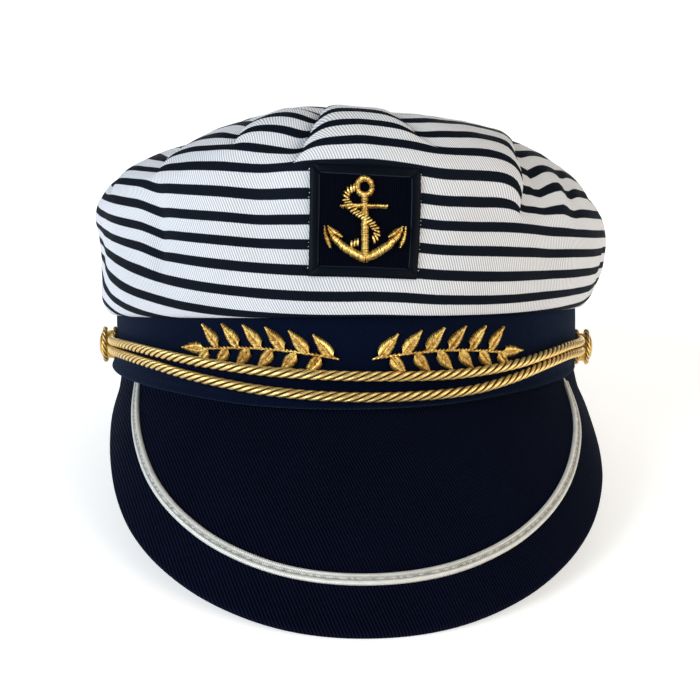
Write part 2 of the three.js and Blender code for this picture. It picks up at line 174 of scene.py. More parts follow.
def joinPieces(name, pieces):
    deselect()
    for piece in pieces:
        piece.select_set(True)
    bpy.context.view_layer.objects.active = pieces[0]
    bpy.ops.object.join()
    piece = bpy.context.object
    piece.name = piece.data.name = name
    return piece


def settle(piece, material, slot, *nodes):
    piece.data.materials.clear()
    piece.data.materials.append(material)
    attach(piece, "root")
    if nodes:
        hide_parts(*nodes)


# Shader sums: a socket that can be added, scaled and mixed
class Wire:
    def __init__(self, tree, socket):
        self.tree = tree
        self.socket = socket

    def add(self, kind, settings=None, inputs=None, out=0):
        node = self.tree.nodes.new(kind)
        for key, value in (settings or {}).items():
            setattr(node, key, value)
        for key, value in (inputs or {}).items():
            if isinstance(value, Wire):
                self.tree.links.new(value.socket, node.inputs[key])
            else:
                node.inputs[key].default_value = value
        return Wire(self.tree, node.outputs[out])

    def sum(self, operation, *values):
        return self.add("ShaderNodeMath", dict(operation=operation), dict(enumerate(values)))

    def __add__(self, other):
        return self.sum("ADD", self, other)

    def __radd__(self, other):
        return self.sum("ADD", other, self)

    def __sub__(self, other):
        return self.sum("SUBTRACT", self, other)

    def __rsub__(self, other):
        return self.sum("SUBTRACT", other, self)

    def __mul__(self, other):
        return self.sum("MULTIPLY", self, other)

    def __rmul__(self, other):
        return self.sum("MULTIPLY", other, self)

    def __truediv__(self, other):
        return self.sum("DIVIDE", self, other)

    def __abs__(self):
        return self.sum("ABSOLUTE", self)

    def __mod__(self, other):
        return self.sum("FLOORED_MODULO", self, other)

    def wave(self):
        # 0 to 1 and back, once for each 1 of this value
        return 0.5 + 0.5 * self.sum("SINE", self * (2 * math.pi))

    def between(self, low, high):
        ends = {"Value": self, "From Min": low, "From Max": high}
        return self.add("ShaderNodeMapRange", dict(interpolation_type="SMOOTHSTEP"), ends)

    def blend(self, first, second):
        # from the first colour to the second, each a text or a mix already made
        ends = [colour(end) if isinstance(end, str) else end for end in (first, second)]
        return self.add("ShaderNodeMix", dict(data_type="RGBA"), {0: self, 6: ends[0], 7: ends[1]}, 2)


def colour(text):
    # screen colour written as in a paint box, for the shader
    parts = [int(text[i:i + 2], 16) / 255 for i in (1, 3, 5)]
    return tuple(p / 12.92 if p <= 0.04045 else ((p + 0.055) / 1.055) ** 2.4 for p in parts) + (1,)


class Finish:
    # a material with its shader and its coordinates
    def __init__(self, name, fixed=None):
        self.material = bpy.data.materials.new(name)
        self.material.use_nodes = True
        tree = self.material.node_tree
        self.shader = tree.nodes["Principled BSDF"]
        for key, value in (fixed or {}).items():
            self.shader.inputs[key].default_value = value
        self.start = Wire(tree, None)

    def cloth(self):
        # the piece's own pattern coordinates in mm
        uv = self.start.add("ShaderNodeUVMap", dict(uv_map="cloth"))
        split = [self.start.add("ShaderNodeSeparateXYZ", None, {0: uv}, k) for k in (0, 1)]
        return split[0] * patternStep, split[1] * patternStep

    def speckle(self, size, detail=2.0):
        # cloudy value, 0 to 1, in blobs of about this many mm
        at = self.start.add("ShaderNodeTexCoord", None, None, 3)
        inputs = {"Vector": at, "Scale": 1000 / size, "Detail": detail}
        return self.start.add("ShaderNodeTexNoise", None, inputs)

    def feed(self, name, wire):
        self.start.tree.links.new(wire.socket, self.shader.inputs[name])

    def relief(self, height, strength, depth):
        inputs = {"Height": height, "Strength": strength, "Distance": depth}
        self.feed("Normal", self.start.add("ShaderNodeBump", None, inputs))


def twillLines(across, up, pitch, lean):
    # fine slanted lines, lean in degrees from upright
    turn = math.radians(lean)
    return ((across * math.cos(turn) + up * math.sin(turn)) / pitch).wave()


# Camera, floor and light
camSet = dict(place=(-0.01197, -0.31568, 0.12092), heading=-1.8, down=15.585, lens=44.72, shift=0.0014)
deselect()
bpy.ops.object.camera_add(location=camSet["place"])
camera = bpy.context.object
camera.name = "photoCamera"
camera.rotation_euler = (math.radians(90 - camSet["down"]), 0, math.radians(camSet["heading"]))
camera.data.lens = camSet["lens"]
camera.data.sensor_width = 36
camera.data.shift_x = camSet["shift"]
camera.data.clip_start = 0.01
bpy.context.scene.camera = camera

floorSet = dict(size=12, glow=0.5)  # lit from below, as on a light table
floorFinish = Finish("palePaper", {"Roughness": 0.9, "Specular IOR Level": 0.1,
                                   "Emission Color": (1, 1, 1, 1), "Emission Strength": floorSet["glow"]})
floorFinish.feed("Base Color", floorFinish.speckle(400).blend("#f6f6f6", "#f9f9f9"))
deselect()
bpy.ops.mesh.primitive_plane_add(size=floorSet["size"])
floor = bpy.context.object
floor.name = floor.data.name = "paperFloor"
floor.data.materials.append(floorFinish.material)

lightSet = rows(
    "name come power spread tint",
    ("keyWindow", (-0.8, -0.48, 0.29), 2.75, 36, (0.82, 0.92, 1.0)),
    ("fillWall", (0.8, -0.48, 0.27), 1.95, 50, (1.0, 0.88, 0.68)),
    ("backWall", (0.1, 0.95, 0.26), 1.4, 60, (1.0, 0.98, 0.95)),
)
for light in lightSet:
    deselect()
    bpy.ops.object.light_add(type="SUN", location=light["come"])
    lamp = bpy.context.object
    lamp.name = lamp.data.name = light["name"]
    lamp.data.energy = light["power"]
    lamp.data.angle = math.radians(light["spread"])
    lamp.data.color = light["tint"]
    lamp.rotation_euler = (-Vector(light["come"])).to_track_quat("-Z", "Y").to_euler()

# white behind the hat, dimmer as light
roomSet = dict(seen=1.05, glow=0.25)
world = bpy.data.worlds.new("whiteRoom")
world.use_nodes = True
lit = world.node_tree.nodes["Background"]
straight = Wire(world.node_tree, None).add("ShaderNodeLightPath")
level = straight * (roomSet["seen"] - roomSet["glow"]) + roomSet["glow"]
lit.inputs["Color"].default_value = (1, 1, 1, 1)
world.node_tree.links.new(level.socket, lit.inputs["Strength"])
bpy.context.scene.world = world
bpy.context.scene.view_settings.view_transform = "Standard"
print("camera, floor and light set")


# Crown: one striped cloth over the whole top, pleated round its shoulder
crownSet = dict(
    wall=1.3, seam=27.6, high=92, fall=16, sag=8.4, lean=5, halfWidth=96, reach=107.5,
    perPleat=28, crowd=0.8, outerLines=134, girthTop=100, lidTop=157,
    # seams: how far up the crown or round it they lie, their width and their depths
    lidSeam=71, sideSeam=96, seamWide=0.9, lidSeamDeep=0.6, sideSeamDeep=0.5,
    # pleats: where they end, how far the lip laps over the valley, and how far lip, lap and valley spread
    pleatTop=76, pleatEnd=(68, 77), grow=10, lap=3.8, tucked=0.64, wobble=0.22, wobbleRun=2.9,
    lipSpan=9, lipRound=0.65, roundSpan=1.8, lapSpan=5, valley=6,
    # where the cloth settles and hangs loose, and the height and size of its unevenness
    settleFrom=(46, 62), settleTo=(85, 115), loose=(2, 14), folds=0.4, foldSize=34, dents=0.14, dentSize=11,
    # stripes: their width and pitch, how they bend round the sides, and how the pleats draw them in
    stripe=2.95, pitch=7.0, firstStripe=9.8, leftBend=345, rightBend=478, rightSkew=0.078,
    sway=0.35, swaySize=55, frontPleats=50, hook=7, rearHook=1.5, hookSpan=1.4, diveSpan=4,
    slipSpan=12, turnUp=1.1, turnSpan=1.7, leftPull=1.4, rightPull=2, lidShift=164,
    twill=0.75, twillLean=21,
)
# sections of the crown, by mm of cloth up from the band's seam
crownRows = rows(
    "along rise hang left right front back",
    (0, 0, 0, 87, 86.8, 103, 103), (3, -0.018, 2.4, 90.8, 88.7, 106, 106.5),
    (9, 0.06, 2.2, 94.5, 91.8, 107, 108), (22, 0.27, 0.6, 95.2, 96.2, 107.5, 109.5),
    (36, 0.49, 0, 95.7, 97.5, 106.5, 109), (44, 0.63, 0, 96.6, 96, 105.5, 107),
    (51, 0.745, 0, 94.8, 92, 103.5, 104), (59, 0.86, 0, 88.5, 85.5, 100, 99),
    (66, 0.935, 0, 77.5, 77, 95, 92.5), (74, 0.985, 0, 67.5, 67.5, 87, 84),
    (85, 1.005, 0, 58, 58, 76, 73), (121, 1.01, 0, 30, 30, 40, 40), (161, 1.01, 0, 0, 0, 0, 0),
)
# each pleat: where it starts and where it meets the lid in degrees from the front, how high up it starts,
# how it swings between, its lip and valley, and how far the stripes drop on its outer and front sides
pleats = rows(
    "foot head start swing lip depth slip dive",
    (-168, -166, 46, 1, 1.1, 2.8, 3.5, 1.2), (-147, -149, 50, 1, 0.9, 2.4, 3.0, 1.0),
    (-126, -124, 44, 1, 1.2, 3.0, 3.5, 1.2), (-104, -106, 48, 1, 1.0, 2.6, 3.2, 1.0),
    (-82, -84, 46, 1, 1.1, 2.9, 3.5, 1.2), (-56, -58, 46, 1, 1.2, 2.8, 3.0, 1.0),
    (-41.5, -36, 48, 1, 1.0, 3.4, 3.4, 2.4), (-23.6, -15, 52, 1.6, 1.2, 4.4, 5.0, 3.0),
    (-11.7, -5.5, 45, 0.6, 1.5, 6.0, 7.0, 3.4), (17, 3.5, 50, 0.5, 1.0, 2.4, 3.0, 1.6),
    (29.6, 43.3, 34, 2.3, 1.5, 3.4, 4.5, 3.2), (56, 61, 45, 1, 1.1, 2.9, 3.5, 1.2),
    (79, 81, 44, 1, 1.2, 3.0, 3.2, 1.2), (101, 99, 48, 1, 1.0, 2.6, 3.4, 1.0),
    (123, 125, 46, 1, 1.1, 2.9, 3.2, 1.2), (146, 144, 50, 1, 0.9, 2.4, 3.0, 1.0),
    (170, 172, 45, 1, 1.1, 2.9, 3.5, 1.2),
)
# how far the shoulder of the crown has settled, in mm, by degrees from the front
settled = rows(
    "turn drop", (-180, 0.9), (-120, 0.9), (-85, -0.3), (-60, 1.2), (-42, 2.9), (-28, 1.7), (-14, 0.4),
    (0, 1.9), (14, 1.7), (28, 0.7), (50, 0.6), (75, 1.2), (120, 0.9), (180, 0.9),
)
# soft creases: degrees from the front, where each starts and ends up the crown, its depth and width,
# and how far the stripes drop in it
creases = rows(
    "turn start end depth width slip",
    (-70, 8, 46, 1.6, 9, 0.3), (-40, 8, 52, 2.0, 4.5, 0.6), (39, 6, 40, 1.4, 8, 0.3),
    (68, 8, 48, 1.4, 8, 0.3), (-110, 10, 48, 1.6, 9, 0.3), (-140, 8, 44, 1.4, 8, 0.3),
    (110, 10, 46, 1.5, 9, 0.3), (150, 8, 48, 1.6, 9, 0.3), (35.5, 32, 62, 1.3, 2.6, 1.2),
    (40.5, 32, 58, -0.9, 3.5, -0.9), (45.5, 30, 62, 1.2, 3.2, 0.9), (-18, 12, 60, 1.8, 8, 0.2),
    (22, 20, 54, 0.8, 8, 0.2),
)


def crownSize(name, along):
    return through(crownRows, "along", name, along)


def crownForm(turn, along):
    c = crownSet
    angle = np.radians(turn)
    side, ahead = np.sin(angle), np.cos(angle)
    x = side * np.where(side < 0, crownSize("left", along), crownSize("right", along))
    y = -ahead * np.where(ahead > 0, crownSize("front", along), crownSize("back", along))
    roof = c["high"] - c["fall"] * (y + c["reach"]) / (2 * c["reach"])
    roof = roof - c["lean"] * np.maximum(x, 0) / c["halfWidth"] - c["sag"] * (x / c["halfWidth"]) ** 2
    hang = crownSize("hang", along) * np.minimum(side, 0) ** 2
    return np.stack([x, y, c["seam"] + crownSize("rise", along) * (roof - c["seam"]) - hang], -1)


def pleatFade(pleat, along):
    start = pleat["start"]
    return swell(along, (start - 1, start + crownSet["grow"]), crownSet["pleatEnd"])


def pleatHand(pleat):
    return 1 if pleat["foot"] < 0 else -1  # towards the front, where the cloth laps over


def pleatHidden(pleat, along):
    # how much of the valley the lip covers
    return crownSet["tucked"] * crownSet["lap"] * pleatFade(pleat, along) ** 2


def pleatTurn(pleat, along):
    # the hidden fold lies under the visible edge, nearer the front
    c = crownSet
    share = np.clip((along - pleat["start"]) / (c["pleatTop"] - pleat["start"]), 0, 1)
    edge = pleat["foot"] + (pleat["head"] - pleat["foot"]) * share ** pleat["swing"]
    edge = edge + c["wobble"] * np.sin(along / c["wobbleRun"] + pleat["foot"])
    under = pleatHidden(pleat, along) / crownSize("front", np.minimum(along, c["girthTop"]))
    return edge + pleatHand(pleat) * np.degrees(under)


def roundTo(middle, turn, along):
    # distance in mm round the crown from a line, positive towards the viewer's right
    return np.radians((turn - middle + 180) % 360 - 180) * crownSize("front", along)


def pleatFar(pleat, turn, along):
    # distance from a pleat, positive on the side that laps over, which is nearer the front
    return roundTo(pleatTurn(pleat, along), turn, along) * pleatHand(pleat)


def creaseFade(crease, along):
    middle = (crease["start"] + crease["end"]) / 2
    return swell(along, (crease["start"], middle), (middle, crease["end"]))


def crownCloth(turn, along, inset):
    c = crownSet
    reach = np.minimum(along, c["lidTop"])  # at its very middle the lid has no way round
    base = crownForm(turn, along)
    off = facing(crownForm, turn, reach)
    step = 0.02
    run = unit(crownForm(turn + step, reach) - crownForm(turn - step, reach))
    out, slide = 0 * turn, 0 * turn
    for pleat in pleats:
        far = pleatFar(pleat, turn, along)
        fade = pleatFade(pleat, along)
        over = ease(far, -0.4, 0.8)
        front, rear = np.maximum(far, 0), np.minimum(far, 0)
        lip = np.exp(-front / c["lipSpan"]) - c["lipRound"] * np.exp(-(front / c["roundSpan"]) ** 2)
        out = out + fade * pleat["lip"] * over * lip
        out = out - fade * pleat["depth"] * (1 - over) * np.exp(rear / c["valley"])
        lap = fade**2 * c["lap"] * over * np.exp(-front / c["lapSpan"])
        slide = slide - lap * pleatHand(pleat)
    for crease in creases:
        far = roundTo(crease["turn"], turn, along)
        out = out - creaseFade(crease, along) * crease["depth"] * np.exp(-(far / crease["width"]) ** 2)
    drop = through(settled, "turn", "drop", (turn + 180) % 360 - 180)
    out = out - drop * swell(along, c["settleFrom"], c["settleTo"])
    uneven = c["folds"] * ripple(base * (1, 1, 0.5), c["foldSize"], 3)
    uneven = uneven + c["dents"] * ripple(base, c["dentSize"], 4)
    out = out + ease(along, *c["loose"]) * uneven
    out = out - c["lidSeamDeep"] * np.exp(-((along - c["lidSeam"]) / c["seamWide"]) ** 2)
    sideways = np.minimum(np.abs(roundTo(c["sideSeam"], turn, along)),
                          np.abs(roundTo(-c["sideSeam"], turn, along)))
    below = 1 - ease(along, c["lidSeam"] - 11, c["lidSeam"])
    out = out - c["sideSeamDeep"] * np.exp(-(sideways / c["seamWide"]) ** 2) * below
    return base + off * (out - inset)[..., None] + run * slide[..., None]


# lines of the grid: inside from the middle of the lid down to the seam, then outside back up
insideAlong = [161, 140, 110, 92, 82, 76, 72, 68, 63, 58, 53, 48, 40, 28, 14, 4, 0]
outerShare = np.linspace(0, 1, crownSet["outerLines"])
outsideAlong = np.interp(outerShare, [0, 0.06, 0.26, 0.78, 1], [0, 5, 40, 82, 161])
crownAlong = np.concatenate([insideAlong, outsideAlong])
crownInset = np.repeat([crownSet["wall"], 0.0], [len(insideAlong), len(outsideAlong)])
crownColumns, crownLines = crownSet["perPleat"] * len(pleats), len(crownAlong) - 1


def crownGrid(u, v):
    # columns follow the pleats and crowd towards them
    line = np.rint(v * crownLines).astype(int)
    along = crownAlong[line]
    count = len(pleats)
    spot = np.clip(u, 0, 1) * count
    here = np.minimum(spot.astype(int), count - 1)
    part = spot - here
    part = part - crownSet["crowd"] * np.sin(2 * math.pi * part) / (2 * math.pi)
    turns = np.stack([pleatTurn(p, along) for p in pleats] + [pleatTurn(pleats[0], along) + 360])
    low = np.take_along_axis(turns, here[None], 0)[0]
    high = np.take_along_axis(turns, here[None] + 1, 0)[0]
    return low + (high - low) * part, along, crownInset[line]


arcTurns = np.linspace(-200, 200, 1601)
arcLength = lengthAlong(crownForm(arcTurns, np.full_like(arcTurns, 30))[:, :2])
arcLength = arcLength - np.interp(0, arcTurns, arcLength)


def byFace(values):
    # the mean over each four-cornered face, given back for each of its corners
    return np.repeat(values.reshape(-1, 4).mean(1), 4)


def stripeBend(arc):
    # how far the stripes hang towards the sides, by mm of cloth from the middle of the front
    bend = arc**2 / (2 * np.where(arc < 0, crownSet["leftBend"], crownSet["rightBend"]))
    return bend - crownSet["rightSkew"] * ease(arc, -10, 25) * np.maximum(arc, 0)


def crownPattern(u, v):
    # pattern coordinates of the cloth: along the stripes, and across them
    c = crownSet
    turn, along = crownGrid(u, v)[:2]
    middle = (byFace(turn) + 180) % 360 - 180
    turn = middle + (turn - middle + 180) % 360 - 180
    arc = np.interp(turn, arcTurns, arcLength)
    whole, edge = np.interp([180, c["sideSeam"]], arcTurns, arcLength)
    meet = np.where(arc < 0, stripeBend(-edge), stripeBend(edge))
    rearBend = meet * ((whole - np.abs(arc)) / (whole - edge)) ** 2
    bend = np.where(np.abs(byFace(arc)) > edge, rearBend, stripeBend(arc))
    form = crownForm(turn, along)
    across = along - bend + c["sway"] * ripple(form * (1, 1, 0.6), c["swaySize"], 12)
    for pleat in pleats:
        far = pleatFar(pleat, turn, along)
        away = np.abs(far)
        grow = ease(along, pleat["start"] - 1, pleat["start"] + c["grow"] - 1)
        hook = c["hook"] if abs(pleat["foot"]) < c["frontPleats"] else c["rearHook"]
        front = pleat["dive"] * np.exp(-away / c["diveSpan"]) + hook * np.exp(-away / c["hookSpan"])
        shown = np.maximum(away - pleatHidden(pleat, along), 0)
        rear = np.exp(-away / c["slipSpan"]) - c["turnUp"] * np.exp(-shown / c["turnSpan"])
        across = across + grow * np.where(byFace(far) < 0, pleat["slip"] * rear, front)
    for crease in creases:
        far = roundTo(crease["turn"], turn, along)
        across = across + crease["slip"] * creaseFade(crease, along) * np.exp(-(far / crease["width"]) ** 2)
    # the cloth left of the long crease and on the right side is pulled up
    left = swell(turn, (-88, -66), (-46, -38)) * swell(along, (14, 30), (50, 60))
    right = swell(arc, (20, 45), (110, 150)) * ease(along, 12, 42)
    across = across - c["leftPull"] * left - c["rightPull"] * right
    lid = byFace(along) > c["lidSeam"]
    return np.stack([np.where(lid, form[:, 0], arc), np.where(lid, c["lidShift"] + form[:, 1], across)], -1)


def crownPlace(u, v):
    return crownCloth(*crownGrid(u, v))


striped = Finish("stripedTwill", {"Specular IOR Level": 0.06})
run, rise = striped.cloth()
halfPitch, halfStripe = crownSet["pitch"] / 2, crownSet["stripe"] / 2
fuzz = 0.14 * (striped.speckle(0.9) - 0.5)
fromMiddle = abs((rise + (fuzz + halfPitch - crownSet["firstStripe"])) % crownSet["pitch"] - halfPitch)
dark = 1 - fromMiddle.between(halfStripe - 0.12, halfStripe + 0.12)
weave = twillLines(run, rise, crownSet["twill"], crownSet["twillLean"])
threads = (run / 0.34).wave() * (rise / 0.3).wave()
cloudy = striped.speckle(26)
white = (0.25 * cloudy + 0.75 * weave.between(0.1, 0.8)).blend("#9b9da4", "#e6e7ec")
navy = (0.4 * cloudy + 0.6 * weave).blend("#02050a", "#0c1523")
striped.feed("Base Color", dark.blend(white, navy))
striped.feed("Roughness", 0.55 + 0.2 * weave + 0.1 * dark)
striped.relief(0.7 * weave + 0.3 * threads, 0.4, 0.0002)

crown = gridPiece("crownCloth", crownColumns, crownLines, crownPlace, crownPattern)
settle(crown, striped.material, "striped_cloth", "crown")
print("crown made")


# Band: a stiff cloth ring with a rolled lower hem and a seam at the back
bandSet = dict(halfWidth=88, halfLength=104, high=27.3, around=288, step=1.6, aside=-1.6,
               wave=0.22, waveSize=40, seamWide=0.45, seamDeep=0.5, hemAside=-1.6, hemReach=13)
# its section in mm: out from the ring, and up
bandOutline = [
    (-2.2, 0), (0.2, 0), (0.85, 0.2), (1.25, 0.8), (1.3, 1.6), (1.05, 2.5), (0.5, 3.2), (0.15, 3.9),
    (0.05, 5), (0, 25.6), (-0.25, 26.7), (-0.9, 27.25), (-2.2, 27.3), (-2.85, 27.1), (-3, 26.4),
    (-3, 0.9), (-2.8, 0.3),
]


def onRing(turn, up, out):
    angle = np.radians(turn)
    wide, long = bandSet["halfWidth"], bandSet["halfLength"]
    ring = np.stack([wide * np.sin(angle), -long * np.cos(angle), np.broadcast_to(up, np.shape(angle))], -1)
    off = unit(np.stack([np.sin(angle) / wide, -np.cos(angle) / long, 0 * angle], -1))
    return ring + off * np.broadcast_to(out, np.shape(angle))[..., None]


def onBand(turn, up, out):
    # the cloth ring sits a little to one side, over the peak
    return onRing(turn, up, out) + np.array([bandSet["aside"], 0, 0])


bandTurns = np.linspace(-180, 180, 1441)
bandLength = lengthAlong(onBand(bandTurns, 0, 0))
bandLength = bandLength - bandLength[-1] / 2


def evenly(points, step):
    # a closed outline as a run of short steps
    corners = np.array(points + points[:1], float)
    run = []
    for low, high in zip(corners[:-1], corners[1:]):
        count = max(1, int(np.ceil(np.linalg.norm(high - low) / step)))
        run += [low + (high - low) * k / count for k in range(count)]
    return np.array(run + [corners[-1]])


bandRun = evenly(bandOutline, bandSet["step"])
bandRunLength = lengthAlong(bandRun)

# how far the lower hem rises round the sides, in mm
hemRises = rows(
    "turn rise", (-180, 0), (-130, 0), (-100, 4.4), (-80, 5), (-60, 4.2), (-38, 2.6), (-18, 0.6), (0, 0),
    (18, 0.3), (35, 1.3), (65, 3), (80, 3.2), (100, 2.8), (130, 0), (180, 0),
)


def hemRise(turn):
    return through(hemRises, "turn", "rise", turn)


def bandPlace(u, v):
    b = bandSet
    turn = 360 * u - 180
    out, up = readAt(v * (len(bandRun) - 1), bandRun).T
    up = up + hemRise(turn) * (1 - up / b["high"])
    sway = ripple(onBand(turn, 0.3 * up, 0), b["waveSize"], 8) * swell(up, (3, 9), (22, 27))
    seam = np.exp(-((180 - np.abs(turn)) / b["seamWide"]) ** 2) * (out > -1.5)
    shift = np.array([b["hemAside"], 0, 0]) * (1 - ease(up, 0, b["hemReach"]))[:, None]
    return onBand(turn, up, out + b["wave"] * sway - b["seamDeep"] * seam) + shift


def bandPattern(u, v):
    length = np.interp(v * (len(bandRun) - 1), np.arange(len(bandRun)), bandRunLength)
    return np.stack([np.interp(360 * u - 180, bandTurns, bandLength), length], -1)


def twillFinish(name, deep, pale, pitch, lean, sheen=0.03):
    finish = Finish(name, {"Specular IOR Level": 0.02, "Sheen Weight": sheen, "Sheen Roughness": 0.35,
                           "Sheen Tint": (0.42, 0.64, 1, 1)})
    run, rise = finish.cloth()
    lines = twillLines(run, rise, pitch, lean).between(0.25, 0.95)
    yarn = (run / 0.42).wave() * (rise / 0.38).wave()
    cloudy = finish.speckle(18, 4.0)
    tone = 0.2 * cloudy + lines * (0.35 + 0.7 * finish.speckle(1.4)) + 0.1 * yarn
    finish.feed("Base Color", tone.blend(deep, pale))
    finish.feed("Roughness", 0.95 - 0.2 * lines)
    finish.relief(0.75 * lines + 0.25 * yarn, 0.6, 0.0003)
    return finish.material


bandTwill = twillFinish("navyTwill", "#02040a", "#0b1632", 0.6, 116, 0.14)
band = gridPiece("bandCloth", bandSet["around"], len(bandRun) - 1, bandPlace, bandPattern)
settle(band, bandTwill, "navy_twill", "band")
print("band made")


# Peak: a stiff bent crescent under cloth, steeper towards its ends
peakSet = dict(thick=2.6, slope=43, steepen=14, bow=2, end=75, across=200, lines=72, rimShare=0.16,
               inside=1.5, drop=0.3, tuck=1.4, leftAside=0.35, asideFrom=(40, 62))
peakWidths = rows(
    "turn width", (-8, 65.4), (0, 67), (8, 65.4), (16, 60.4), (24, 53), (32, 44.2), (40, 34.3), (48, 24.5),
    (56, 16), (66, 7.8), (75, 1.6),
)


def peakWidth(turn):
    return through(peakWidths, "turn", "width", np.abs(turn))


def peakForm(distance, turn):
    p = peakSet
    width = peakWidth(turn)
    slope = np.radians(p["slope"] + p["steepen"] * (turn / p["end"]) ** 2)
    share = distance / width
    bow = 4 * p["bow"] * share * (1 - share) * ease(width, 2, 30)
    raised = hemRise(turn) * (1 - np.clip(share, 0, 1)) ** 2  # up to the hem of the band
    start = onRing(turn, raised - p["drop"] - p["thick"] / 2, -p["inside"])
    away = onRing(turn, 0, 1) - onRing(turn, 0, 0)
    out = distance * np.cos(slope) + bow * np.sin(slope)
    up = bow * np.cos(slope) - distance * np.sin(slope)
    aside = ease(turn, *p["asideFrom"]) + p["leftAside"] * ease(-turn, *p["asideFrom"])
    return start + away * out[..., None] + np.stack([bandSet["aside"] * aside, 0 * aside, up], -1)


def peakSpot(u, v):
    # round the plate's section: from the edge over the top to the band, and back underneath
    p = peakSet
    turn = p["end"] * np.sin(math.pi * (u - 0.5))
    width = peakWidth(turn)
    rim = np.minimum(p["thick"] / 2, 0.45 * width)
    part = np.clip(np.minimum(v, 1 - v) * p["lines"] / (p["lines"] / 2 - 1), 0, 1)
    arc = np.clip(part / p["rimShare"], 0, 1) * math.pi / 2
    flat = np.clip((part - p["rimShare"]) / (1 - p["rimShare"]), 0, 1)
    distance = (width - rim) * (1 - flat) + rim * np.cos(arc)
    return turn, distance, np.sin(arc) * p["thick"] / 2 * np.clip((0.5 - v) * p["lines"], -1, 1)


def peakPlace(u, v):
    turn, distance, height = peakSpot(u, v)
    tuck = peakSet["tuck"] * (1 - ease(distance, 0, 3))  # up behind the band's hem
    return lift(peakForm, distance, turn, height) + np.array([0, 0, 1.0]) * tuck[..., None]


def peakPattern(u, v):
    turn, distance = peakSpot(u, v)[:2]
    at = peakForm(distance, turn)
    slope = math.radians(peakSet["slope"])
    return np.stack([at[:, 0], at[:, 1] * math.cos(slope) + at[:, 2] * math.sin(slope)], -1)


peakTwill = twillFinish("peakTwill", "#010103", "#0f142b", 0.8, 22)
peak = gridPiece("peakCloth", peakSet["across"], peakSet["lines"], peakPlace, peakPattern)
settle(peak, peakTwill, "peak_twill", "peak")
print("peak made")


# Silver braid sewn along the peak: two round ridges with a stitched groove between them
braidSet = dict(end=55.5, lines=620, gap=0.05, taper=0.004)
braidInsets = rows("turn inset", (-18, 14.1), (0, 13.8), (18, 14.1), (36, 15.4), (55.5, 16.4))
# its section in mm: across, and up from the peak
braidOutline = [
    (-1.5, 0.05), (-1.5, 0.45), (-1.3, 0.8), (-0.95, 1.02), (-0.6, 1.0), (-0.3, 0.78), (0, 0.62), (0.3, 0.78),
    (0.6, 1.0), (0.95, 1.02), (1.3, 0.8), (1.5, 0.45), (1.5, 0.05), (0, 0),
]
braidRun = np.array(braidOutline + braidOutline[:1])


def braidPath(v):
    turn = braidSet["end"] * np.sin(math.pi * (np.clip(v, 0, 1) - 0.5))
    return peakWidth(turn) - through(braidInsets, "turn", "inset", np.abs(turn)), turn


def braidPlace(u, v):
    step, taper = 0.002, braidSet["taper"]
    middle = peakForm(*braidPath(v))
    off = facing(peakForm, *braidPath(v))
    run = unit(peakForm(*braidPath(v + step)) - peakForm(*braidPath(v - step)))
    across, height = readAt(u * (len(braidRun) - 1), braidRun).T
    ends = np.minimum(ease(v, 0, taper), 1 - ease(v, 1 - taper, 1))
    height = peakSet["thick"] / 2 + braidSet["gap"] + height * ends
    return middle + np.cross(run, off) * (across * ends)[..., None] + off * height[..., None]


braidShares = np.linspace(0, 1, 400)
braidLength = lengthAlong(peakForm(*braidPath(braidShares)))


def braidPattern(u, v):
    across = readAt(u * (len(braidRun) - 1), braidRun)[:, 0]
    return np.stack([across, np.interp(v, braidShares, braidLength)], -1)


silver = Finish("silverBraid", {"Metallic": 0.25, "Specular IOR Level": 0.5})
run, rise = silver.cloth()
strand = ((rise + 1.1 * abs(run)) / 0.62).wave()
knots = (rise / 2.8 + 3 * silver.speckle(6)).wave() * (1 - abs(run).between(0.1, 0.4))
# painted highlight: the two ridges and the outer sides of the braid are painted lighter than the groove
# between them
ridgeHighlight = abs(run).between(0.25, 0.8)
tone = 0.45 * ridgeHighlight + 0.25 * strand + 0.3 * silver.speckle(2.5) + 0.4 * knots
silver.feed("Base Color", tone.blend("#6a6a66", "#fbfaf4"))
silver.feed("Roughness", 0.5 - 0.16 * strand)
silver.relief(0.7 * strand + knots, 0.7, 0.0002)
braid = gridPiece("silverBraid", len(braidOutline), braidSet["lines"], braidPlace, braidPattern)
settle(braid, silver.material, "silver_braid", "peak_piping")
print("braid made")


# Badge: a padded navy patch with a satin ribbon bound round it
badgeSet = dict(along=30, right=0.9, halfWide=14.9, halfTall=14.65, tilt=-1.8, topSag=0.5, rise=0.3,
                thick=0.9, lines=60, edge=0.7, back=0.95, perSide=40, mitreWide=0.45, mitreDeep=0.3)
# section of the ribbon in mm: in from the badge's edge, and up from the crown
ribbonOutline = [
    (-0.3, 0.2), (-0.42, 0.6), (-0.32, 1.05), (0.05, 1.35), (0.7, 1.5), (1.5, 1.52), (2.1, 1.45), (2.35, 1.3),
    (2.45, 1.05), (1.2, 0.7),
]
ribbonRun = np.array(ribbonOutline + ribbonOutline[:1])


def badgeForm(u, w):
    return crownForm(np.degrees((u + badgeSet["right"]) / crownSet["halfWidth"]), badgeSet["along"] + w)


def patchForm(x, y):
    # the patch is turned a little, and its top edge hangs straight across the curve of the crown
    turn = math.radians(badgeSet["tilt"])
    y = y - badgeSet["topSag"] * (1 - (x / badgeSet["halfWide"]) ** 2) * ease(y, -8, 14)
    return badgeForm(x * math.cos(turn) - y * math.sin(turn), x * math.sin(turn) + y * math.cos(turn))


def patchSpot(u, v):
    # from the middle of the patch to its edge, then back underneath
    x, y = 2 * u - 1, 2 * v - 1
    rim = np.maximum(np.maximum(np.abs(x), np.abs(y)), 1e-6)
    edge = badgeSet["edge"]
    out = np.where(rim < edge, rim / edge, 1 - badgeSet["back"] * (rim - edge) / (1 - edge)) / rim
    height = badgeSet["rise"] + badgeSet["thick"] * (1 - ease(rim, edge - 0.05, edge + 0.02))
    return x * out * badgeSet["halfWide"], y * out * badgeSet["halfTall"], height


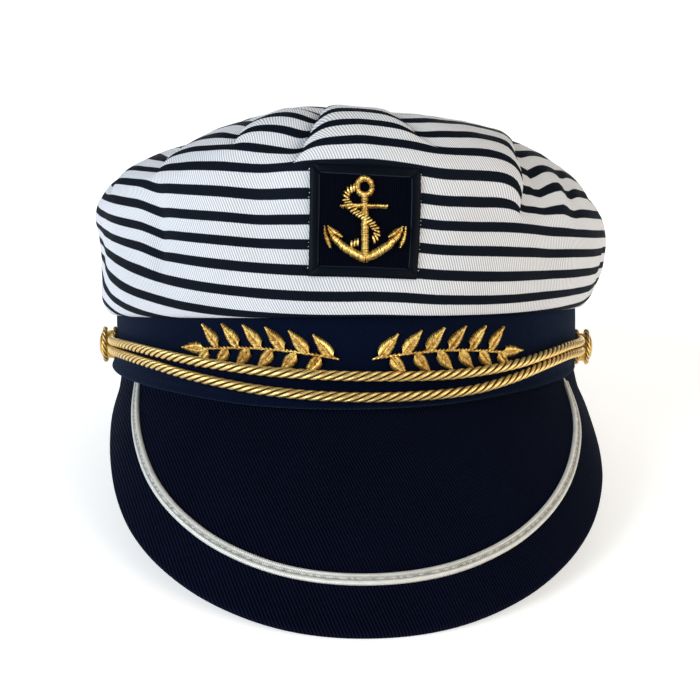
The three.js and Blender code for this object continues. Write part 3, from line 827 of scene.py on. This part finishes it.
def patchPlace(u, v):
    return lift(patchForm, *patchSpot(u, v))


def patchPattern(u, v):
    return np.stack(patchSpot(u, v)[:2], -1)


badgeCloth = twillFinish("badgeCloth", "#010207", "#070a18", 0.5, 0)
patch = gridPiece("badgePatch", badgeSet["lines"], badgeSet["lines"], patchPlace, patchPattern)
settle(patch, badgeCloth, "badge_cloth", "patch")


def ribbonPlace(u, v):
    side = np.minimum((u * 4).astype(int), 3)
    part = 2 * (u * 4 - side) - 1
    inset, height = readAt(v * (len(ribbonRun) - 1), ribbonRun).T
    wide, tall = badgeSet["halfWide"] - inset, badgeSet["halfTall"] - inset
    x = np.choose(side, [wide * part, wide, -wide * part, -wide])
    y = np.choose(side, [tall, -tall * part, -tall, tall * part])
    mitre = np.exp(-((1 - np.abs(part)) * wide / badgeSet["mitreWide"]) ** 2)
    height = height - badgeSet["mitreDeep"] * mitre * (height > 1)
    return lift(patchForm, x, y, height)


def ribbonPattern(u, v):
    inset = readAt(v * (len(ribbonRun) - 1), ribbonRun)[:, 0]
    return np.stack([u * 8 * badgeSet["halfWide"], inset], -1)


satin = Finish("navyRibbon", {"Specular IOR Level": 0.05})
run, rise = satin.cloth()
ribs = (run / 0.45).wave()
sheen = (0.6 * ribs + 0.4 * satin.speckle(5)).blend("#010309", "#060d19")
# painted highlight: a paler line, #1f2833, along the ribbon's inner edge
satin.feed("Base Color", rise.between(2.1, 2.35).blend(sheen, "#1f2833"))
satin.feed("Roughness", 0.46 - 0.1 * ribs)
satin.relief(ribs, 0.3, 0.0001)
ribbon = gridPiece("badgeRibbon", 4 * badgeSet["perSide"], len(ribbonOutline), ribbonPlace, ribbonPattern)
settle(ribbon, satin.material, "badge_ribbon", "patch_border")
print("badge made")


# Threads: one modelled, then copied for every stitch
threadSet = dict(sides=6, cuts=4, arch=2.6, flat=0.8)


def threadModel():
    deselect()
    bpy.ops.mesh.primitive_cylinder_add(vertices=threadSet["sides"], radius=0.5, depth=1,
                                        end_fill_type="TRIFAN")
    thread = bpy.context.object
    bpy.ops.object.mode_set(mode="EDIT")
    bpy.ops.mesh.select_all(action="DESELECT")
    bpy.ops.object.mode_set(mode="OBJECT")
    for edge in thread.data.edges:
        ends = [thread.data.vertices[k].co.z for k in edge.vertices]
        edge.select = abs(ends[0] - ends[1]) > 0.5
    bpy.ops.object.mode_set(mode="EDIT")
    bpy.ops.mesh.subdivide(number_cuts=threadSet["cuts"])
    bpy.ops.object.mode_set(mode="OBJECT")
    shape = np.array([tuple(v.co) for v in thread.data.vertices])
    faces = [tuple(f.vertices) for f in thread.data.polygons]
    bpy.data.objects.remove(thread)
    return shape, faces


threadShape, threadFaces = threadModel()


def sewOn(name, surface, lines, make, seed):
    # lines hold where each stitch starts and ends on the surface in mm, its base height and its arch
    lines = np.array(lines, float)
    count = len(lines)
    draw = np.random.default_rng(seed)
    lines[:, :4] += draw.uniform(-make["uneven"], make["uneven"], (count, 4))
    x0, y0, x1, y1, base, high = lines.T
    thick = (make["thread"] * draw.uniform(0.85, 1.15, count))[:, None, None]
    high = (high * draw.uniform(0.85, 1.1, count))[:, None, None]
    starts, ends = lift(surface, x0, y0, base), lift(surface, x1, y1, base)
    off = facing(surface, (x0 + x1) / 2, (y0 + y1) / 2)
    side = unit(np.cross(off, ends - starts))
    share = threadShape[None, :, 2:] + 0.5
    arch = high * (1 - np.abs(2 * share - 1) ** threadSet["arch"])
    points = starts[:, None] + (ends - starts)[:, None] * share
    points = points + off[:, None] * (arch + threadSet["flat"] * thick * threadShape[None, :, 1:2])
    points = points + side[:, None] * thick * threadShape[None, :, :1]
    faces = [tuple(k + n * len(threadShape) for k in face) for n in range(count) for face in threadFaces]
    mesh = bpy.data.meshes.new(name)
    mesh.from_pydata(toRoom(points.reshape(-1, 3)).tolist(), [], faces)
    piece = bpy.data.objects.new(name, mesh)
    bpy.context.collection.objects.link(piece)
    sealed(piece)
    return piece


def satinLimb(path, slant, make):
    # stitches side by side across a limb, given as points with a half width
    path = np.array(path, float)
    length = lengthAlong(path[:, :2])
    spots = np.arange(0, length[-1], make["pitch"])
    x, y, half = [np.interp(spots, length, column) for column in path.T]
    ahead, behind = [[np.interp(spots + step, length, path[:, k]) for k in (0, 1)] for step in (0.3, -0.3)]
    angle = np.arctan2(ahead[1] - behind[1], ahead[0] - behind[0]) + math.radians(90 - slant)
    half = half / math.cos(math.radians(slant))
    dx, dy = half * np.cos(angle), half * np.sin(angle)
    lines = np.stack([x - dx, y - dy, x + dx, y + dy], -1)
    return [(*line, make["base"], make["high"]) for line in lines]


def goldFinish(name, deep, pale, metal, rough):
    finish = Finish(name, {"Metallic": metal})
    glint = finish.speckle(0.8)
    tone = (0.6 * glint + 0.4 * finish.speckle(5)).between(0.3, 0.7)
    finish.feed("Base Color", tone.blend(deep, pale))
    finish.feed("Roughness", rough - 0.1 + 0.2 * glint)
    return finish.material


goldThread = goldFinish("goldThread", "#a86f18", "#ffe28a", 0.72, 0.3)

# loose pale stitches where the badge is sewn down at its left and right
edgeSet = dict(stitches=24, reach=13, out=0.4, long=0.45, rise=0.3, base=0.75, high=0.2, thread=0.2,
               uneven=0.3)
edgeLines = []
for side in (-1, 1):
    for y in np.linspace(-edgeSet["reach"], edgeSet["reach"], edgeSet["stitches"]):
        x = side * (badgeSet["halfWide"] + edgeSet["out"])
        start, end = x - edgeSet["long"] / 2, x + edgeSet["long"] / 2
        edgeLines.append((start, y, end, y + edgeSet["rise"], edgeSet["base"], edgeSet["high"]))
paleThread = Finish("paleThread")
paleThread.feed("Base Color", paleThread.speckle(3).blend("#7d828a", "#dfe2e8"))
edges = sewOn("badgeEdgeStitches", patchForm, edgeLines, edgeSet, 20)
settle(edges, paleThread.material, "badge_ribbon")

# Anchor: satin stitch in gold thread, with a rope stitched in dashes
anchorSet = dict(pitch=0.42, thread=0.46, base=1.2, high=1.4, uneven=0.1,
                 ringStitches=40, ringInner=1.3, ringOuter=2.7, ringUp=8.95, ringTwist=0.12, ringHigh=1.2)


def ringLines():
    a = anchorSet
    lines = []
    for angle in np.linspace(0, 2 * math.pi, a["ringStitches"], endpoint=False):
        far = angle + a["ringTwist"]
        inner = a["ringInner"] * math.cos(angle), a["ringUp"] + a["ringInner"] * math.sin(angle)
        outer = a["ringOuter"] * math.cos(far), a["ringUp"] + a["ringOuter"] * math.sin(far)
        lines.append((*inner, *outer, a["base"], a["ringHigh"]))
    return lines


# limbs: points in mm from the middle of the badge, each with a half width, and the slant of the stitches
anchorLimbs = [
    dict(path=[(-6.4, 4.05, 0.35), (-5.4, 4.05, 0.62), (6.1, 4.05, 0.62)], slant=20),
    dict(path=[(0, 7.1, 0.9), (0, -9.4, 1.05)], slant=0),
]
for side in (-1, 1):
    anchorLimbs += [
        dict(path=[(9.8 * side, -2.2, 0.45), (8.6 * side, -4.4, 0.85), (6.3 * side, -6.7, 1.05),
                   (3.2 * side, -8.7, 1.2), (0, -10.1, 1.1)], slant=18 * side),
        dict(path=[(10.9 * side, -1.5, 0.2), (10.7 * side, -3.6, 0.5), (10.1 * side, -5.6, 0.55),
                   (9.4 * side, -7.3, 0.2)], slant=30),
        dict(path=[(9.9 * side, -1.5, 0.25), (8.3 * side, -3.1, 0.85), (6.1 * side, -4.5, 0.25)], slant=10),
    ]
anchorLines = ringLines()
for limb in anchorLimbs:
    anchorLines += satinLimb(limb["path"], limb["slant"], anchorSet)
anchor = sewOn("anchorStitches", badgeForm, anchorLines, anchorSet, 21)
settle(anchor, goldThread, "gold_thread", "anchor")

anchorRopeSet = dict(half=0.95, pitch=0.86, slant=24, base=1.25, high=0.6, thread=0.56, uneven=0.08,
                     over=1.5, shankWide=1.7, stockUp=4.05, stockWide=1.1, stockShare=0.8)
anchorRopePaths = [
    [(-2.8, 8.7), (-4.5, 7.9), (-5.2, 6.0), (-3.9, 3.8), (-2.2, 2.1), (0, 0.6), (1.9, -0.8), (3.2, -2.6),
     (3.2, -4.3), (2.0, -5.4)],
    [(-2.0, -5.8), (-4.4, -6.6)],
]


def anchorRopeLines():
    # raised where the rope crosses the shank and the stock
    r = anchorRopeSet
    lines = []
    for path in anchorRopePaths:
        limb = [(x, y, r["half"]) for x, y in path]
        for x0, y0, x1, y1, base, high in satinLimb(limb, r["slant"], r):
            shank = math.exp(-((x0 + x1) / 2 / r["shankWide"]) ** 2)
            stock = r["stockShare"] * math.exp(-(((y0 + y1) / 2 - r["stockUp"]) / r["stockWide"]) ** 2)
            lines.append((x0, y0, x1, y1, base + r["over"] * max(shank, stock), high))
    return lines


rope = sewOn("anchorRopeStitches", badgeForm, anchorRopeLines(), anchorRopeSet, 22)
settle(rope, goldThread, "gold_thread", "anchor_rope")
print("anchor sewn")

# Leaf sprigs on the band: leaves in two rows of slanted stitches, on a stem
sprigSet = dict(start=5, length=42, up=14.6, bend=1.6, tipLift={-1: 2.1, 1: 0.3}, base=0.15, thread=0.52,
                uneven=0.06, stemStitches=34, stemBack=0.4, stemLong=1.5, stemHalf=0.35, stemHigh=0.6,
                leaves=12, leaf=9, under=0.86, half=1.7, angle=50, rootOn=1.3, tipBack=0.6,
                perLeaf=15, stitchLean=0.2, rib=0.12, leafHigh=0.75)


def bandForm(u, w):
    return onBand(np.degrees(u / bandSet["halfWidth"]), w, 0)


def stemUp(u, side):
    share = (u - sprigSet["start"]) / sprigSet["length"]
    return sprigSet["up"] + sprigSet["bend"] * math.sin(share * math.pi) + sprigSet["tipLift"][side] * share


def sprigLines(side):
    s = sprigSet
    lines = []
    for k in range(s["stemStitches"]):
        u = s["start"] + s["length"] * k / s["stemStitches"]
        start = u - s["stemBack"], stemUp(u, side) - s["stemHalf"]
        end = u + s["stemLong"], stemUp(u + s["stemLong"], side) + s["stemHalf"]
        lines.append((*start, *end, s["base"], s["stemHigh"]))
    for i in range(s["leaves"] + 1):
        last = i == s["leaves"]  # straight on, at the tip
        u = s["start"] + s["length"] * i / s["leaves"]
        lean = math.radians(0 if last else s["angle"] * (-1 if i % 2 else 1))
        root = (u - s["tipBack"] if last else u + s["rootOn"], stemUp(u, side))
        leaf = s["leaf"] * (s["under"] if i % 2 else 1)
        for k in range(s["perLeaf"]):
            part = (k + 0.4) / s["perLeaf"]
            tip = min(part + s["stitchLean"], 1)
            for hand in (-1, 1):
                wide = s["half"] * hand * (math.sin(math.pi * tip**0.75) + 0.06)
                turned = [(root[0] + x * math.cos(lean) - y * math.sin(lean),
                           root[1] + x * math.sin(lean) + y * math.cos(lean))
                          for x, y in ((leaf * part, -s["rib"] * hand), (leaf * tip, wide))]
                lines.append((*turned[0], *turned[1], s["base"], s["leafHigh"]))
    return [(side * a, b, side * c, d, e, f) for a, b, c, d, e, f in lines]


for side, name in ((-1, "left"), (1, "right")):
    sprig = sewOn("leafSprig." + name, bandForm, sprigLines(side), sprigSet, 30 + side)
    settle(sprig, goldThread, "gold_thread", "sprig_" + name)
print("sprigs sewn")


# Rope: strands wound round a closed line, as many and as steep as its settings say
def strandGirth(radius, strands):
    thin = math.sin(math.pi / strands)
    return 2 * math.pi * radius * thin / (1 + thin)


def closed(points):
    return np.vstack([points, points[:1]])


def ropeStrand(name, path, off, radius, make, lays, strand):
    strandRadius = strandGirth(radius, make["strands"]) / (2 * math.pi)
    path, off = closed(path), closed(off)
    count = len(path) - 1
    size = lengthAlong(path)[-1]

    def middle(v):
        spot = (v % 1) * count
        at = readAt(spot, path)
        run = unit(readAt((spot + 1) % count, path) - readAt((spot - 1) % count, path))
        away = readAt(spot, off)
        away = unit(away - run * (away * run).sum(-1, keepdims=True))
        turn = 2 * math.pi * (v * lays + strand / make["strands"])[:, None]
        way = away * np.cos(turn) + np.cross(away, run) * np.sin(turn)
        return at + way * (radius - strandRadius), way

    def place(u, v):
        at, way = middle(v)
        run = unit(middle(v + 0.2 / count)[0] - middle(v - 0.2 / count)[0])
        way = unit(way - run * (way * run).sum(-1, keepdims=True))
        angle = 2 * math.pi * u[:, None]
        return at + strandRadius * (way * np.cos(angle) + np.cross(run, way) * np.sin(angle))

    def pattern(u, v):
        return np.stack([u * 2 * math.pi * strandRadius, v * size], -1)

    return gridPiece(f"{name}.{strand}", make["sides"], lays * make["perLay"], place, pattern)


def ropePiece(name, path, off, radius, make):
    lays = max(1, round(lengthAlong(closed(path))[-1] / make["lay"]))
    made = [ropeStrand(name, path, off, radius, make, lays, k) for k in range(make["strands"])]
    return joinPieces(name, made)


# Chin cord: a whole loop of rope, across the front twice and round the buttons
cordSet = dict(radius=1.5, strands=4, lay=12.6, perLay=20, sides=8, bendRadius=3.1, bendOut=2.2,
               steps=1200, smoothings=3)
buttonSpots = dict(left=dict(turn=-79, up=12.9), right=dict(turn=77, up=10.7))
cordRuns = rows(
    "turn upper lower out", (-72, 15.2, 11.9, 2.2), (-60, 15.6, 12.1, 2.4), (-52, 15.5, 11.7, 2.5),
    (-42, 14.6, 10.5, 2.8), (-32, 13.2, 8.5, 3.1), (-16, 11, 5.4, 3.1), (0, 9.9, 3.9, 3.1), (16, 9.5, 4, 3.1),
    (24, 10, 5, 3.1), (32, 11.1, 7.1, 3.1), (42, 13, 9.8, 2.8), (52, 14.4, 11.3, 2.5), (60, 14.4, 11.1, 2.4),
    (70, 14, 10.3, 2.2),
)


def cordRun(name, turns):
    up, out = (through(cordRuns, "turn", key, turns) for key in (name, "out"))
    return onBand(turns, up, out)


def cordBend(spot):
    angles = np.radians(np.linspace(75, -75, 13))
    across = np.degrees(cordSet["bendRadius"] * np.cos(angles) / bandSet["halfLength"])
    up = spot["up"] + cordSet["bendRadius"] * np.sin(angles)
    return onBand(spot["turn"] + math.copysign(1, spot["turn"]) * across, up, cordSet["bendOut"])


def cordLoop():
    # middle line of the loop in hat mm, smoothed, in even steps
    turns = np.arange(cordRuns[0]["turn"], cordRuns[-1]["turn"] + 1.0)
    path = np.concatenate([cordRun("upper", turns), cordBend(buttonSpots["right"]),
                           cordRun("lower", turns[::-1]), cordBend(buttonSpots["left"])[::-1]])
    for k in range(cordSet["smoothings"]):
        whole = closed(path)
        length = lengthAlong(whole)
        even = np.linspace(0, length[-1], cordSet["steps"], endpoint=False)
        path = np.stack([np.interp(even, length, column) for column in whole.T], -1)
        path = sum(np.roll(path, j, 0) for j in range(-3, 4)) / 7
    return path


cordPath = cordLoop()
cordOff = unit(cordPath * (1 / bandSet["halfWidth"] ** 2, 1 / bandSet["halfLength"] ** 2, 0))
print("chin cord length in mm:", round(lengthAlong(closed(cordPath))[-1], 1))


def ropeFinish(name, girth, deep):
    # bright twisted gold, with painted shade: the sides and backs of the strands, down in the grooves between
    # them, are painted brown
    finish = Finish(name, {"Metallic": 0.85})
    run, rise = finish.cloth()
    fibres = (run / 0.33 + rise / 2.2).wave()
    # painted shade mask: 0 on the outward crest of each strand, 1 on its sides and back
    grooveShade = abs((run / girth + 0.5) % 1 - 0.5).between(0.11, 0.26)
    gold = (0.65 * fibres + 0.35 * finish.speckle(1.5)).blend("#d8a43c", "#ffeaac")
    finish.feed("Base Color", grooveShade.blend(gold, deep))
    finish.feed("Roughness", 0.27 + 0.1 * fibres + 0.3 * grooveShade)
    finish.relief(fibres, 0.35, 0.00012)
    return finish.material


# the last colour is the painted shade in the grooves between the strands
goldCord = ropeFinish("goldCord", strandGirth(cordSet["radius"], cordSet["strands"]), "#2b1803")
cord = ropePiece("chinRope", cordPath, cordOff, cordSet["radius"], cordSet)
settle(cord, goldCord, "gold_cord", "chin_cord")
print("chin cord twisted")

# Side buttons: a domed gold drum with two roped rims, the cord going in at its side
buttonSet = dict(sides=48, crease=40, rimPoints=96)
goldMetal = goldFinish("goldMetal", "#a88029", "#e2bd5e", 1.0, 0.26)
# section of the drum in mm: from its axis, and out from the band
buttonOutline = [
    (5.9, 0.15), (6.2, 0.4), (6.2, 0.9), (5.9, 1.2), (5.4, 1.4), (5.4, 4.0), (5.9, 4.3), (6.1, 4.7),
    (5.9, 5.2), (5.3, 5.5), (4.9, 5.55), (4.6, 5.9), (3.7, 6.4), (2.4, 6.75), (1.0, 6.95),
]
rimSet = dict(thick=0.8, strands=3, lay=5.8, perLay=12, sides=7)
buttonRims = rows("name radius out rope", ("cap", 5.95, 4.75, 0.85), ("base", 6.0, 1.1, 0.75))
# the last colour is the painted shade in the grooves between the strands
rimGold = ropeFinish("rimGold", strandGirth(rimSet["thick"], rimSet["strands"]), "#7d5719")


def buttonPiece(side):
    deselect()
    bpy.ops.mesh.primitive_circle_add(vertices=buttonSet["sides"], radius=buttonOutline[0][0],
                                      fill_type="NGON")
    button = bpy.context.object
    button.name = button.data.name = "goldButton." + side
    bpy.ops.object.mode_set(mode="EDIT")
    bpy.ops.mesh.select_all(action="SELECT")
    bpy.ops.transform.translate(value=(0, 0, buttonOutline[0][1]))
    for (r0, h0), (r1, h1) in zip(buttonOutline[:-1], buttonOutline[1:]):
        bpy.ops.mesh.extrude_region_move(TRANSFORM_OT_translate={"value": (0, 0, h1 - h0)})
        bpy.ops.transform.resize(value=(r1 / r0, r1 / r0, 1))
    bpy.ops.mesh.select_all(action="SELECT")
    bpy.ops.mesh.normals_make_consistent(inside=False)
    bpy.ops.object.mode_set(mode="OBJECT")
    turn, up = np.array([buttonSpots[side]["turn"]], float), buttonSpots[side]["up"]
    foot = onBand(turn, up, 0)[0]
    axis = Vector(onBand(turn, up, 1)[0] - foot)
    spin = axis.to_track_quat("Z", "Y").to_matrix()
    points = np.array([tuple(spin @ v.co) for v in button.data.vertices]) + foot
    button.data.vertices.foreach_set("co", toRoom(points).ravel())
    button.data.update()
    work(button)
    bpy.ops.object.shade_smooth_by_angle(angle=math.radians(buttonSet["crease"]))
    settle(button, goldMetal, "gold_metal", "button_" + side)
    angles = np.linspace(0, 2 * math.pi, buttonSet["rimPoints"], endpoint=False)
    ring = np.stack([np.cos(angles), np.sin(angles), 0 * angles], -1) @ np.array(spin).T
    off = np.broadcast_to(np.array(axis), ring.shape)
    for rim in buttonRims:
        path = foot + np.array(axis) * rim["out"] + ring * rim["radius"]
        roped = ropePiece(f'buttonRim.{side}.{rim["name"]}', path, off, rim["rope"], rimSet)
        settle(roped, rimGold, "gold_metal")


for side in buttonSpots:
    buttonPiece(side)
print("buttons made")
